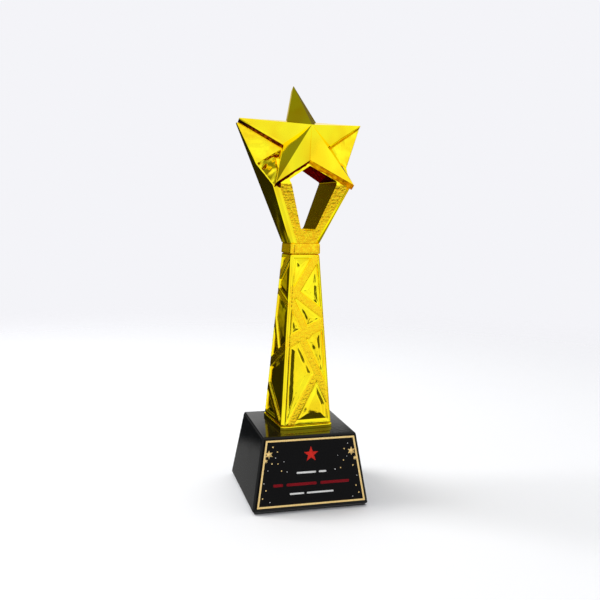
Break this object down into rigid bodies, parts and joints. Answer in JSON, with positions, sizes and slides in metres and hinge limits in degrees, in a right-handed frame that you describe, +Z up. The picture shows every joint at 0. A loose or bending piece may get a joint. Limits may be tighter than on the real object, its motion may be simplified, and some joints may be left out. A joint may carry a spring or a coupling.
{
  "type": "star trophy",
  "caption": "Upright gold trophy: a faceted star leaning back on a splayed head with an open window, over a tapered column with raised bands, on a black tapered base with a printed plate",
  "frame": {"origin": "centre of the square underside of the felt, on the surface that the trophy stands on", "axes": "+Z up, -Y out of the front with the name plate, +X to the right seen from the front; the figure is turned 5 degrees on the base about +Z"},
  "size_m": [0.094, 0.0849, 0.2988],
  "materials": {
    "gold_plate": "moulded plastic, electroplated to a mirror yellow gold",
    "black_lacquer": "fibreboard block under polished black lacquer",
    "printed_plate": "sheet printed gloss black",
    "gold_foil": "hot-stamped gold foil line",
    "tape": "double-sided mounting tape",
    "felt": "black self-adhesive felt",
    "steel": "zinc-plated steel fasteners",
    "brass": "turned brass insert"
  },
  "bodies": {
    "root": {"base_block": "black_lacquer", "felt_pad": "felt", "name_plate": "printed_plate", "plate_tape": "tape", "plate_border": "gold_foil", "foot_plate": "gold_plate", "column_front_shell": "gold_plate", "column_back_shell": "gold_plate", "neck_collar": "gold_plate", "head_frame": "gold_plate", "head_back_cover": "gold_plate", "star_front": "gold_plate", "star_back_cover": "gold_plate", "locating_pins": "steel", "column_pegs": "steel", "star_screws": "steel", "tie_rod": "steel", "plain_washer": "steel", "lock_washer": "steel", "clamp_nut": "steel", "threaded_insert": "brass"}
  },
  "joints": []
}
